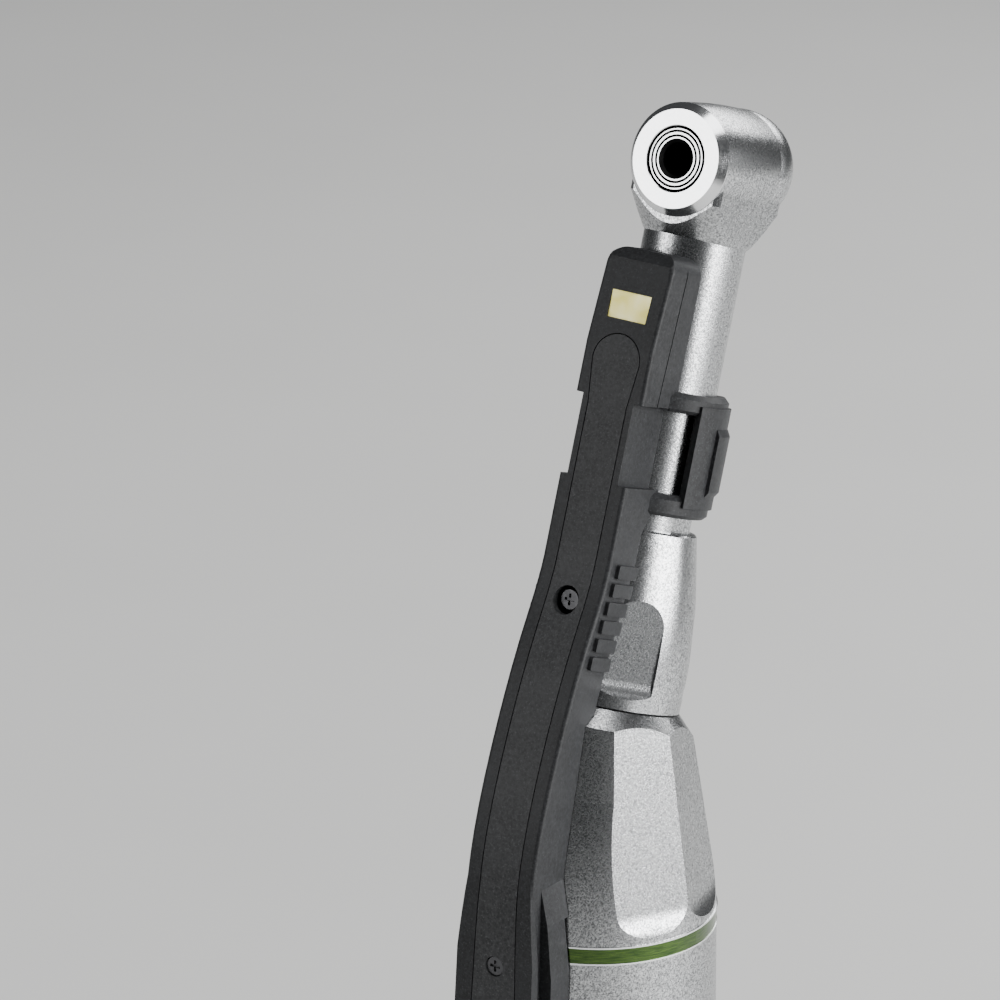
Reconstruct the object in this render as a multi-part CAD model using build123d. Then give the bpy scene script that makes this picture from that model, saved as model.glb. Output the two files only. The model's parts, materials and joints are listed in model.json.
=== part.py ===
from build123d import *
import math
import os

# Cordless motor handpiece with a bent reduction contra-angle and a clip-on LED arm.
# Millimetres. +Z runs up the handle towards the head, -Y is the side that the bur points to,
# the part is mirror-symmetric about X = 0, and the origin is the centre of the flat tail face.

# ---- driving dimensions -------------------------------------------------------------------
BEND_Z = 138.0            # height of the point where the neck axis leaves the handle axis
BEND_ANGLE = 17.66        # degrees between the neck axis and the handle axis
NECK_LENGTH = 40.79       # bend point to the head's axis
SEAM = 2.3                # along the neck: joint between barrel and middle sleeve
SLEEVE_TOP = 15.0         # along the neck: rim of the middle sleeve
NECK_START = 6.0          # along the neck: lower end of the neck tube
NECK_R = 3.65
NECK_BORE_R = 2.6
HEAD_R = 4.0
HEAD_BELLY_R = 4.2
FLARE_SHIFT = 0.22          # the flare stands behind the neck's axis
HEAD_FRONT = 4.06         # along the head's axis, measured from the neck axis
HEAD_BACK = 5.5
FACE_HEIGHT = 0.61        # height of the bevelled face ring
FACE_R = 3.48
FACE_HOLE_R = 2.33
SHANK_R = 1.18            # bore for a 2.35 mm latch-type shank
SHANK_MOUTH_R = 1.38
CAVITY_R = 3.05
COLLAR_R = 2.2            # visible front end of the chuck
CHUCK_GROOVES = (1.95, 1.62)

BARREL_TOP_R = 6.91
SHOULDER_R = 6.75         # break between barrel and shoulder, around the neck axis
SHOULDER_AT = 1.0
SEAM_R = 5.5
SEAM_GAP = 0.13
LOFT_START = -2.5
BAND_R = 8.88
BAND_TOP = -12.73         # all barrel heights are measured from the bend point
BAND_HEIGHT = 1.35
CONTRA_END = -26.0
REAR_R = 9.15
FLATS = ((22.5, 22.5), (65, 20), (105, 20), (144, 19), (180, 17))  # centre and half angle, from -Y
FLAT_HIGH = -1.5          # heights at which the two ridge radii hold
FLAT_LOW = -12.0
FLAT_TOP_RIDGE_R = 7.05
FLAT_END_RIDGE_R = 8.9
FLAT_RUNOUT_R = 4.3
FLAT_END = -15.1
CAVITY_BARREL_R = 4.7
GEARBOX_R = 5.6

NOSE_R = 5.5              # motor nose that the contra-angle plugs onto
NOSE_END = -12.2
NOSE_BORE_R = 3.3
RUN = 0.03                # radial clearance of running fits

ARM_HALF = 2.8            # half width of the LED arm
FOOT_HALF = 3.8
FOOT_END = -23.1
COLLAR_TOP = -23.2
FRONT_HALF = 3.3          # half width of the arm's front at its foot
STRIP_FOOT_HALF = 1.9
ARM_FACE = 7.17           # arm's front face, measured from the neck axis
CAP_TOP = 34.2            # top of the LED cap along the neck
CAP_END = 23.7
TONGUE_END = 17.9
TONGUE_HALF = 2.1
STRIP_HALF = 1.55
STRIP_DEPTH = 0.6
STRIP_HEAD_R = 1.9
STRIP_HEAD = 26.3
STRIP_NECK = 23.2         # where the strip's round head has narrowed to its band
RIBS = 6
RIB_LENGTH = 2.45
RIB_WIDTH = 0.95
RIB_RISE = 0.3
CAP_BEVEL = 0.8
CAP_CORNER_R = 1.3
ARM_EDGE_R = 0.3

HANDLE_R = 11.0
HANDLE_INNER_R = 9.6
HANDLE_TOP = 110.0
TAIL_HEIGHT = 6.0
FLAT_Y = 10.2             # flat on the back of the handle, for the display and the buttons

SUN_TEETH = 12
PLANET_TEETH = 12
RING_TEETH = 36
MODULE = 0.25
PLANETS = 3
CROWN_TEETH = 16
CROWN_R = 4.0
PINION_TEETH = 8
CHUCK_TEETH = 20
HEAD_MODULE = 0.25
PRESSURE = math.radians(20)

# ---- frames -------------------------------------------------------------------------------
TILT = math.radians(BEND_ANGLE)
BEND = Vector(0, 0, BEND_Z)
ALONG = Vector(0, math.sin(TILT), math.cos(TILT))
OUT = Vector(0, -math.cos(TILT), math.sin(TILT))
CENTRE = BEND + ALONG * NECK_LENGTH
BARREL = Location((0, 0, BEND_Z))
NECK = Plane(origin=BEND, x_dir=(1, 0, 0), z_dir=ALONG).location
HEAD = Plane(origin=CENTRE, x_dir=(1, 0, 0), z_dir=OUT).location


def neck_point(along, out, x=0.0):
    """A point given along and outwards from the neck axis."""
    return BEND + ALONG * along + OUT * out + Vector(x, 0, 0)


# ---- shape helpers ------------------------------------------------------------------------
def turned(*points):
    """A solid turned about Z from (radius, height) points."""
    return turned_outline(Polyline(*[(r, 0, z) for r, z in points], close=True))


def turned_outline(outline):
    return revolve(make_face(outline), Axis.Z)


def ring(inner, outer, low, high):
    return turned((inner, low), (outer, low), (outer, high), (inner, high))


def rod(radius, low, high):
    return Pos(0, 0, low) * Cylinder(radius, high - low, align=(Align.CENTER, Align.CENTER, Align.MIN))


def block(x, y, z):
    """A box from three (low, high) pairs."""
    size = [pair[1] - pair[0] for pair in (x, y, z)]
    middle = [(pair[1] + pair[0]) / 2 for pair in (x, y, z)]
    return Pos(*middle) * Box(*size)


def around(shape, count, start=0.0):
    return [Rot(0, 0, start + 360 / count * i) * shape for i in range(count)]


def fused(shapes):
    shapes = list(shapes)
    return shapes[0].fuse(*shapes[1:]) if len(shapes) > 1 else shapes[0]


def grouped(*shapes):
    solids = []
    for shape in shapes:
        solids.extend(shape.solids())
    return Compound(children=solids)


def bearing(inner, outer, low, high, balls=8, wall=0.4):
    """Outer race, and the turning inner race with its balls, of a small ball bearing."""
    ball_r = (outer - inner) / 2 - wall - 0.02
    pitch = (outer + inner) / 2
    ball = Pos(pitch, 0, (low + high) / 2) * Sphere(min(ball_r, (high - low) * 0.42))
    gap = min(ball_r, (high - low) * 0.42) + 0.02
    inner_race = grouped(ring(inner, pitch - gap, low, high), *around(ball, balls))
    return ring(pitch + gap, outer, low, high), inner_race


def involute(angle):
    return math.tan(angle) - angle


def flank_angle(radius, pitch_r, teeth, backlash):
    """Half the angle of an involute tooth at a radius."""
    base = pitch_r * math.cos(PRESSURE)
    at = math.acos(min(1.0, base / max(radius, base)))
    return math.pi / 2 / teeth - backlash / pitch_r / 2 + involute(PRESSURE) - involute(at)


def spur_outline(teeth, root, tip, backlash, phase):
    """Closed outline of a straight-toothed gear, with a tooth centred at the phase angle."""
    pitch_r = teeth * MODULE / 2
    levels = sorted({root, max(root, pitch_r * math.cos(PRESSURE)), pitch_r, tip})
    points = []
    for tooth in range(teeth):
        middle = math.radians(phase) + math.tau * tooth / teeth
        halves = [flank_angle(r, pitch_r, teeth, backlash) for r in levels]
        rising = range(len(levels))
        for side, order in ((-1, rising), (1, reversed(rising))):
            for i in order:
                angle = middle + side * halves[i]
                points.append((levels[i] * math.cos(angle), levels[i] * math.sin(angle)))
    return make_face(Polyline(*points, close=True))


def spur_gear(teeth, low, high, bore, phase=0.0):
    pitch_r = teeth * MODULE / 2
    face = spur_outline(teeth, pitch_r - 1.2 * MODULE, pitch_r + 0.85 * MODULE, 0.05, phase)
    gear = Pos(0, 0, low) * extrude(face, high - low)
    return gear - rod(bore, low, high) if bore else gear


def bevel_teeth(teeth, cone, outer, inner, tooth_height, phase, backlash):
    """Straight teeth that run towards the apex at the origin, pointing down the -Z side.

    cone is the pitch cone's half angle; outer and inner are radii from the axis.
    """
    pitch_arc = math.pi / 2 / teeth - backlash / outer / 2
    levels = ((-1.35 * tooth_height, 1.5), (0.85 * tooth_height, 0.62))
    made = []
    for tooth in range(teeth):
        middle = math.radians(phase) + math.tau * tooth / teeth
        ends = []
        for radius in (outer, inner):
            scale = radius / outer
            corners = []
            for level, width in levels:
                height = -radius / math.tan(cone) + level * scale * math.sin(cone)
                reach = radius + level * scale * math.cos(cone)
                for side in (-1, 1):
                    angle = middle + side * pitch_arc * width
                    corners.append((reach * math.cos(angle), reach * math.sin(angle), height))
            outline = Polyline(corners[0], corners[1], corners[3], corners[2], close=True)
            ends.append(make_face(outline))
        made.append(loft(ends, ruled=True))
    return made


def bevel_gear(teeth, cone, outer, inner, tooth_height, back, bore, phase=0.0, backlash=0.1):
    """A bevel gear about Z with its apex at the origin and its body below it."""
    drop = 1.1 * tooth_height

    def root(radius):
        scale = radius / outer
        return (
            radius - drop * scale * math.cos(cone),
            -radius / math.tan(cone) - drop * scale * math.sin(cone),
        )

    low_out, low_in = root(outer), root(inner)
    if bore:
        blank = turned((bore, back), (low_out[0], back), low_out, low_in, (bore, low_in[1]))
    else:
        blank = turned((0, back), (low_out[0], back), low_out, low_in, (0, low_in[1]))
    return blank.fuse(*bevel_teeth(teeth, cone, outer, inner, tooth_height, phase, backlash))


# ---- head and neck ------------------------------------------------------------------------
def neck_flare():
    """The waist that widens from the neck tube into the head, in the neck's frame."""
    low = 35.2
    start, end, rim = (3.88, 0, low + 0.4), (4.95, 0, 37.45), (5.4, 0, 38.1)
    top = NECK_LENGTH
    outline = (
        Line((0, 0, low), (NECK_R - 0.1, 0, low))
        + Line((NECK_R - 0.1, 0, low), start)
        + ThreePointArc(start, (4.25, 0, 36.25), end)
        + Line(end, rim)
        + Line(rim, (rim[0], 0, top))
        + Line((rim[0], 0, top), (0, 0, top))
        + Line((0, 0, top), (0, 0, low))
    )
    side = 3.75
    flare = Pos(0, FLARE_SHIFT, 0) * turned_outline(outline)
    return flare & block((-side, side), (-HEAD_FRONT, HEAD_BACK - 0.3), (34, top))


def head_housing():
    front, rear, back = (HEAD_R, 0, HEAD_FRONT), (HEAD_BELLY_R - 0.05, 0, -2.8), (3.5, 0, -HEAD_BACK)
    head = turned_outline(
        Line((0, 0, HEAD_FRONT), front)
        + ThreePointArc(front, (HEAD_BELLY_R, 0, 0.6), rear)
        + ThreePointArc(rear, (4.03, 0, -4.45), back)
        + Line(back, (0, 0, -HEAD_BACK))
        + Line((0, 0, -HEAD_BACK), (0, 0, HEAD_FRONT))
    )
    neck = rod(NECK_R, NECK_START, NECK_LENGTH - 1.0)
    wrench_zone = rod(NECK_R + 1, 15.0, 16.9) - block((-3.45, 3.45), (-NECK_R, NECK_R), (15.0, 16.9))
    neck = neck - wrench_zone
    body = (NECK * neck).fuse(NECK * neck_flare(), HEAD * head)
    cavity = [
        HEAD * rod(3.4, -HEAD_BACK - 1, -4.2),
        HEAD * rod(CAVITY_R, -4.3, HEAD_FRONT + 1),
        HEAD * rod(3.34, 3.7, HEAD_FRONT + 1),
        NECK * rod(NECK_BORE_R, NECK_START - 1, NECK_LENGTH - 1.5),
    ]
    return body.cut(*cavity)


def head_face_ring():
    top = HEAD_FRONT + FACE_HEIGHT
    return HEAD * turned(
        (FACE_HOLE_R, 3.76), (3.32, 3.76), (3.32, HEAD_FRONT), (HEAD_R, HEAD_FRONT),
        (HEAD_R, HEAD_FRONT + 0.06), (FACE_R, top), (FACE_HOLE_R + 0.05, top), (FACE_HOLE_R, top - 0.05),
    )


def head_back_ring():
    return HEAD * turned(
        (2.62, -HEAD_BACK), (3.3, -HEAD_BACK), (3.38, -HEAD_BACK + 0.08), (3.38, -4.62), (2.62, -4.62),
    )


def push_cap():
    """Release button at the back of the head."""
    rim = 2.55
    return HEAD * turned(
        (0, -5.98), (rim - 0.35, -5.98), (rim - 0.1, -5.9), (rim, -5.65), (rim, -4.58),
        (2.98, -4.58), (2.98, -4.2), (0.9, -4.2), (0.9, -4.14), (0, -4.14),
    )


def push_cap_spring():
    """Wave spring between the cap's flange and the rear bearing."""
    turns = [ring(2.55, 2.95, -4.18 + 0.21 * i, -4.06 + 0.21 * i) for i in range(4)]
    return HEAD * grouped(*turns)


def chuck_spindle():
    front = HEAD_FRONT + FACE_HEIGHT - 0.06
    collar = turned(
        (SHANK_R, -3.3), (1.55, -3.3), (1.55, 3.82), (COLLAR_R, 3.82), (COLLAR_R, front - 0.04),
        (COLLAR_R - 0.04, front),
        (SHANK_MOUTH_R, front), (SHANK_R, front - 0.25),
    )
    for radius in CHUCK_GROOVES:
        collar = collar - ring(radius - 0.06, radius + 0.06, front - 0.24, front + 1)
    return HEAD * (collar + rod(1.3, -3.3, -3.0))


def chuck_latch():
    """Flat latch that holds the shank's slot, set across the spindle's rear end."""
    latch = ring(1.6, 2.0, -3.62, -3.36) + block((-2.0, 2.0), (-0.5, 0.5), (-3.62, -3.36))
    return HEAD * latch


HEAD_CONE = math.atan2(PINION_TEETH, CHUCK_TEETH)
PINION_R = PINION_TEETH * HEAD_MODULE / 2
CHUCK_R = CHUCK_TEETH * HEAD_MODULE / 2
HEAD_TOOTH = HEAD_MODULE * 0.85
CROWN_CONE = math.radians((180 - BEND_ANGLE) / 2)
CROWN_TOOTH = 0.3


def chuck_gear():
    gear = bevel_gear(
        CHUCK_TEETH, math.pi / 2 - HEAD_CONE, CHUCK_R, 1.8, HEAD_TOOTH, -2.0, 1.56,
        phase=-90 + 180 / CHUCK_TEETH,
    )
    return HEAD * gear


HEAD_BEARINGS = [bearing(1.56, CAVITY_R - 0.01, low, low + 1.15, 9) for low in (-3.25, 2.55)]
NECK_BEARINGS = [bearing(0.8, NECK_BORE_R - 0.01, low, low + 1.6, 7) for low in (7.0, 33.0)]


def neck_shaft():
    """Shaft inside the neck, with the pinion cut on its upper end."""
    pinion = bevel_gear(PINION_TEETH, HEAD_CONE, PINION_R, 0.72, HEAD_TOOTH, -3.3, 0, phase=90)
    return NECK * rod(0.8, 1.9, NECK_LENGTH - 3.2).fuse(Pos(0, 0, NECK_LENGTH) * pinion)


def neck_crown_gear():
    gear = bevel_gear(CROWN_TEETH, CROWN_CONE, CROWN_R, 2.4, CROWN_TOOTH, -1.9, 0.81,
                      phase=-90 + 180 / CROWN_TEETH)
    return NECK * (Rot(180, 0, 0) * gear)


# ---- middle sleeve and barrel ---------------------------------------------------------------
def sleeve_outline(grow=0.0):
    """Outer line of the middle sleeve, from its rim down to the seam."""
    low = (5.44 + grow, 0, SEAM + SEAM_GAP)
    swell = (5.48 + grow, 0, 3.6)
    rim = (4.22 + grow, 0, SLEEVE_TOP - 0.12)
    return low, swell, (5.07 + grow, 0, 10.2), (4.5 + grow, 0, 13.4), rim


def sleeve_blank(grow=0.0):
    low, swell, waist, shoulder, rim = sleeve_outline(grow)
    top = (4.1 + grow, 0, SLEEVE_TOP + grow)
    outline = (
        Line((0, 0, low[2]), low)
        + Line(low, swell)
        + Spline(swell, waist, shoulder, rim)
        + Line(rim, top)
        + Line(top, (0, 0, top[2]))
        + Line((0, 0, top[2]), (0, 0, low[2]))
    )
    return turned_outline(outline)


def mid_sleeve():
    """Middle sleeve with four milled scallops."""
    body = sleeve_blank().cut(rod(NECK_R + 0.01, 5.5, SLEEVE_TOP + 1), rod(4.6, SEAM - 1, 5.6))
    for angle in (-133, -47, 47, 133):
        cutter = block((-1.95, 1.95), (0, 3), (2.9, 10.15))
        cutter = fillet(cutter.edges().filter_by(Axis.Y).group_by(Axis.Z)[-1], 1.9)
        cutter = fillet(cutter.edges().filter_by(Axis.X).group_by(Axis.Z)[0].sort_by(Axis.Y)[0], 1.5)
        body = body - Rot(0, 0, 180 + angle) * Pos(0, 4.93, 0) * cutter
    return NECK * body


def barrel_line(height):
    """Barrel radius between its shoulder and the ratio band."""
    share = (height + 1) / (BAND_TOP + 1)
    return BARREL_TOP_R + (BAND_R - 0.04 - BARREL_TOP_R) * share + 0.9 * share * (1 - share)


def barrel_blank(grow=0.0):
    """Round form of the barrel: a turned body under a shoulder that is coaxial with the neck."""
    top = (barrel_line(LOFT_START) + grow, 0, LOFT_START)
    low = (BAND_R - 0.04 + grow, 0, BAND_TOP)
    outline = (
        Line((0, 0, LOFT_START), top)
        + ThreePointArc(top, (barrel_line(-7.6) + grow, 0, -7.6), low)
        + Line(low, (0, 0, BAND_TOP))
        + Line((0, 0, BAND_TOP), (0, 0, LOFT_START))
    )
    neck_place = Pos(0, 0, -BEND_Z) * NECK
    levels = [
        (Pos(0, 0, LOFT_START), barrel_line(LOFT_START)),
        (neck_place * Pos(0, 0, SHOULDER_AT), SHOULDER_R),
        (neck_place * Pos(0, 0, SEAM), SEAM_R),
    ]
    ends = [place * make_face(CenterArc((0, 0, 0), r + grow, 0, 360)) for place, r in levels]
    return turned_outline(outline).fuse(loft(ends, ruled=True))


def flat_cutter(half, grow):
    """Cuts one flat of the barrel; its lower end runs out in a hollow curve."""
    cosine = math.cos(math.radians(half))
    slope = (FLAT_END_RIDGE_R - FLAT_TOP_RIDGE_R) * cosine / (FLAT_LOW - FLAT_HIGH)
    lean = math.degrees(math.atan(slope))
    cutter = block((-4.2, 4.2), (grow, 5), (FLAT_END - FLAT_HIGH, 6))
    edge = cutter.edges().filter_by(Axis.X).group_by(Axis.Z)[0].sort_by(Axis.Y)[0]
    cutter = fillet(edge, FLAT_RUNOUT_R)
    return Pos(0, FLAT_TOP_RIDGE_R * cosine, FLAT_HIGH) * Rot(-lean, 0, 0) * cutter


def faceted_barrel(grow=0.0):
    """The barrel's outer form with its nine flats, the widths mirrored about X = 0."""
    cutters = []
    for centre, half in FLATS:
        for side in (-1, 1) if centre < 180 else (1,):
            cutters.append(Rot(0, 0, 180 + side * centre) * flat_cutter(half, grow))
    return barrel_blank(grow).cut(*cutters)


def grip_sleeve():
    hollow = [
        rod(GEARBOX_R, BAND_TOP - 1, -4.4),
        rod(CAVITY_BARREL_R, -5, -0.5),
        Pos(0, 0, -BEND_Z) * NECK * rod(CAVITY_BARREL_R, -1.6, SEAM + 1),
    ]
    return BARREL * faceted_barrel().cut(*hollow)


def ratio_band():
    band = ring(GEARBOX_R + 1.2, BAND_R, BAND_TOP - BAND_HEIGHT + 0.12, BAND_TOP - 0.12)
    return BARREL * band


def band_trim_rings():
    rings = []
    for low in (BAND_TOP - 0.12, BAND_TOP - BAND_HEIGHT):
        rings.append(ring(GEARBOX_R + 1.2, BAND_R + 0.03, low, low + 0.12))
    return BARREL * grouped(*rings)


def rear_sleeve():
    """Rear part of the contra-angle, with the bore that plugs onto the motor nose."""
    low = BAND_TOP - BAND_HEIGHT
    shell = turned(
        (GEARBOX_R, BAND_TOP), (GEARBOX_R + 1.18, BAND_TOP), (GEARBOX_R + 1.18, low), (BAND_R, low),
        (REAR_R, CONTRA_END + 0.3), (REAR_R - 0.3, CONTRA_END), (NOSE_R + RUN + 0.3, CONTRA_END),
        (NOSE_R + RUN, CONTRA_END + 0.3), (NOSE_R + RUN, NOSE_END + 0.2), (GEARBOX_R, NOSE_END + 0.2),
    )
    groove = ring(NOSE_R, NOSE_R + 0.25, -20.6, -19.4)
    return BARREL * (shell - groove)


# ---- planetary stage ------------------------------------------------------------------------
PLANET_R = (SUN_TEETH + PLANET_TEETH) * MODULE / 2
GEAR_LOW, GEAR_HIGH = -9.1, -6.2


def ring_gear():
    space = spur_outline(
        RING_TEETH, RING_TEETH * MODULE / 2 - 0.85 * MODULE, RING_TEETH * MODULE / 2 + 1.2 * MODULE, -0.05,
        180 / RING_TEETH,
    )
    blank = rod(GEARBOX_R - 0.01, GEAR_LOW - 0.1, GEAR_HIGH + 0.1)
    return BARREL * (blank - Pos(0, 0, GEAR_LOW - 1) * extrude(space, 5))


def planet_gear(index):
    angle = 360 / PLANETS * index
    gear = spur_gear(PLANET_TEETH, GEAR_LOW, GEAR_HIGH, 0.53, phase=15 + angle)
    spot = Vector(PLANET_R, 0, 0).rotate(Axis.Z, angle)
    return BARREL * Pos(spot.X, spot.Y, 0) * gear


def planet_carrier():
    """Disc with the three planet pins below it and the output shaft above it."""
    disc = rod(4.1, -6.05, -4.95)
    shaft = rod(2.2, -4.96, -4.3) + rod(1.6, -4.4, -1.9) + rod(0.99, -2.0, -1.0)
    pins = around(Pos(PLANET_R, 0, 0) * rod(0.5, GEAR_LOW, -6.0), PLANETS)
    return BARREL * disc.fuse(shaft, *pins)


def carrier_crown_gear():
    gear = bevel_gear(CROWN_TEETH, CROWN_CONE, CROWN_R, 2.4, CROWN_TOOTH, -1.9, 1.0, phase=90)
    return BARREL * gear


CARRIER_BEARING = bearing(1.61, CAVITY_BARREL_R - 0.01, -4.2, -2.4, 9)
INPUT_BEARING = bearing(0.91, GEARBOX_R - 0.01, -11.7, -9.8, 9, wall=1.6)


def sun_shaft():
    sun = spur_gear(SUN_TEETH, GEAR_LOW, GEAR_HIGH + 0.05, 0)
    shaft = rod(0.9, -13.4, GEAR_LOW + 0.05)
    flange = rod(2.4, -13.6, -12.5)
    prongs = [block(side, (-0.7, 0.7), (-16.0, -13.5)) for side in ((1.1, 2.2), (-2.2, -1.1))]
    return BARREL * sun.fuse(shaft, flange, *prongs)


# ---- motor ----------------------------------------------------------------------------------
def motor_shaft():
    return rod(0.9, 77.5, BEND_Z - 17.5)


def drive_dog():
    hub = ring(0.91, 2.4, -19.2, -17.0) + ring(0.91, 1.4, -17.0, -16.3)
    prongs = [block((-0.7, 0.7), side, (-17.1, -14.0)) for side in ((1.1, 2.2), (-2.2, -1.1))]
    return BARREL * hub.fuse(*prongs)


def motor_rotor():
    return ring(0.91, 4.3, 83, 101)


MOTOR_BEARINGS = [bearing(0.91, 3.9, low, low + 2.0, 8) for low in (78.5, 103.0)]


def motor_can():
    """Steel motor can with its two end walls."""
    can = turned(
        (3.92, 77.6), (7.3, 77.6), (7.6, 77.9), (7.6, 105.8), (7.5, 105.9), (3.92, 105.9), (3.92, 102.6),
        (6.8, 102.6), (6.8, 81.0), (3.92, 81.0),
    )
    return can


def motor_winding():
    return ring(4.6, 6.78, 82.5, 101.5)


def motor_nose():
    """Nose tube and flange of the motor, which carry the contra-angle."""
    top = BEND_Z + NOSE_END
    body = turned(
        (NOSE_BORE_R, 106.0), (9.2, 106.0), (9.2, 109.6), (NOSE_R + 0.6, 109.6), (NOSE_R, 110.2),
        (NOSE_R, top - 0.4), (NOSE_R - 0.4, top), (NOSE_BORE_R, top),
    )
    snap_groove = ring(5.1, NOSE_R + 1, BEND_Z - 20.5, BEND_Z - 19.5)
    seal_groove = ring(5.05, NOSE_R + 1, 121.6, 122.6)
    return body.cut(snap_groove, seal_groove)


def nose_snap_ring():
    low, high = BEND_Z - 20.4, BEND_Z - 19.6
    bevel = 0.3
    outer = ((5.38, low), (5.5, low + bevel), (5.5, high - bevel), (5.38, high))
    spring = turned((5.15, low), *outer, (5.15, high))
    return spring - block((-0.5, 0.5), (0, 7), (low - 1, high + 1))


def nose_seal():
    return Pos(0, 0, 122.1) * Torus(5.27, 0.2)


# ---- LED arm --------------------------------------------------------------------------------
def arm_front(inset=0.0):
    """Edges of the arm's front line from the cap's top to the foot, moved in by an inset."""
    step = Vector(0, inset, 0)
    top = neck_point(CAP_TOP, 6.45) + step
    cap_low = neck_point(27.4, ARM_FACE) + step
    straight_end = neck_point(12.6, ARM_FACE + 0.02) + step
    knees = [
        straight_end,
        Vector(0, -5.55, BEND_Z + 9.0) + step,
        Vector(0, -8.85, BEND_Z + 2.0) + step,
        Vector(0, -11.3, BEND_Z - 5.4) + step,
        Vector(0, -12.05, BEND_Z - 12.0) + step,
    ]
    foot = Vector(0, -12.4, BEND_Z + FOOT_END) + step
    down = Vector(0, -0.04, -1)
    return (
        [Line(top, cap_low), Line(cap_low, straight_end),
         Spline(*knees, tangents=(-1 * ALONG, down)), Line(knees[-1], foot)],
        top, foot,
    )


def arm_band(near, far):
    """Cross-section between two insets of the front line."""
    first, top, foot = arm_front(near)
    second, deep_top, deep_foot = arm_front(far)
    edges = first + second + [Line(top, deep_top), Line(foot, deep_foot)]
    return make_face(Curve() + edges)


def along_x(face, low, high):
    """Extrude a face that lies in the YZ plane between two X positions."""
    return Pos(low, 0, 0) * extrude(face, high - low, dir=(1, 0, 0))


def arm_profile():
    """Side view of the arm: front line, back line and the foot."""
    front, top, foot = arm_front()
    back = [
        Vector(0, -8.0, BEND_Z + FOOT_END),
        Vector(0, -8.3, BEND_Z - 12.8),
        Vector(0, -6.2, BEND_Z - 1.8),
        Vector(0, -3.3, BEND_Z + 6.4),
        Vector(0, -0.35, BEND_Z + 12.2),
        neck_point(14.8, 3.9),
    ]
    upper = [neck_point(14.8, 3.9), neck_point(16.5, 2.9), neck_point(CAP_TOP - 0.5, 2.8),
             neck_point(CAP_TOP, 3.3)]
    edges = front + [Line(foot, back[0]), Line(back[0], back[1]), Spline(*back[1:])]
    edges += [Line(a, b) for a, b in zip(upper, upper[1:])]
    edges += [Line(upper[-1], top)]
    return make_face(Curve() + edges)


def arm_blank():
    body = along_x(arm_profile(), -ARM_HALF, ARM_HALF)
    on_side = [e for e in body.edges() if abs(abs(e.center().X) - ARM_HALF) < 0.01]
    corners = [e for e in on_side if (e.center() - BEND).dot(ALONG) > CAP_TOP - 0.1]
    body = fillet(corners, CAP_CORNER_R)
    bevel = [neck_point(CAP_TOP - CAP_BEVEL, 8), neck_point(CAP_TOP - CAP_BEVEL, 6.55),
             neck_point(CAP_TOP + 0.1, 5.7), neck_point(CAP_TOP + 1, 8)]
    body = body - along_x(make_face(Polyline(*bevel, close=True)), -4, 4)
    edges = [e for e in body.edges() if is_front_edge(e)]
    body = fillet(edges, ARM_EDGE_R)
    cheeks = widened(((ARM_HALF - 0.2, -7.0), (3.4, -10.5), (FOOT_HALF, -14.5)), FOOT_HALF, -10.6, -7.0)
    flange = widened(((ARM_HALF - 0.2, -7.0), (FRONT_HALF - 0.1, -13.0)), FRONT_HALF, -13, -11.4)
    flange = BARREL * flange & along_x(arm_profile(), -4, 4)
    skid = block((-FRONT_HALF, FRONT_HALF), (-12.4, -10.5), (-27.2, FOOT_END + 0.2))
    return body.fuse(BARREL * cheeks, flange, BARREL * skid)


def widened(side, half, front, back):
    """A plate between two Y positions whose half width grows towards the foot."""
    low = FOOT_END
    right = [*side, (half, low)]
    left = [(-x, z) for x, z in reversed(right)]
    face = make_face(Polyline(*[(x, front, z) for x, z in right + left], close=True))
    return extrude(face, back - front, dir=(0, 1, 0))


def is_front_edge(edge):
    """Long edges between the arm's front and its sides."""
    spot = edge.center()
    on_side = abs(abs(spot.X) - ARM_HALF) < 0.01
    return on_side and edge.length > 2.5 and (spot - BEND).dot(OUT) > 6.3


def arm_notch(side):
    """Recess on each side of the arm's tongue, between the cap and the lower shell."""
    low, high = ((TONGUE_HALF, 4), (-4, -TONGUE_HALF))[side]
    return NECK * block((low, high), (-9, 0), (TONGUE_END, CAP_END))


def strip_cutter(grow):
    """Volume of the inlaid strip: a long band with a round head."""
    half = STRIP_HALF + grow
    wide = STRIP_HEAD_R - 0.03 + grow
    foot = STRIP_FOOT_HALF + grow
    low = BEND_Z - 20.4 - grow
    edge = [(half, BEND_Z + 30), (half, BEND_Z - 8), (foot, low)]
    edge += [(-x, z) for x, z in reversed(edge)]
    band = extrude(make_face(Polyline(*[(x, -16, z) for x, z in edge], close=True)), 19, dir=(0, 1, 0))
    below = NECK * block((-6, 6), (-30, 30), (-60, STRIP_NECK + 0.1))
    head = Pos(0, -7, STRIP_HEAD) * Rot(90, 0, 0) * Cylinder(STRIP_HEAD_R + grow, 12)
    taper = make_face(Polyline(
        (-half, -1, STRIP_NECK), (half, -1, STRIP_NECK), (wide, -1, STRIP_HEAD - 0.3),
        (-wide, -1, STRIP_HEAD - 0.3), close=True,
    ))
    taper = extrude(taper, 12, dir=(0, -1, 0))
    return (band & below).fuse(NECK * head, NECK * taper)


SCREW_SPOTS = [
    (neck_point(9.37, 7.55), OUT * 0.93 + Vector(0, -0.37, 0.0), 1.0, 0.55),
    (Vector(0, -12.1, BEND_Z - 13.82), Vector(0, -1, 0.03), 0.72, 0.12),
]


def screw_frame(spot):
    return Plane(origin=spot[0], x_dir=(1, 0, 0), z_dir=spot[1].normalized()).location


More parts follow.
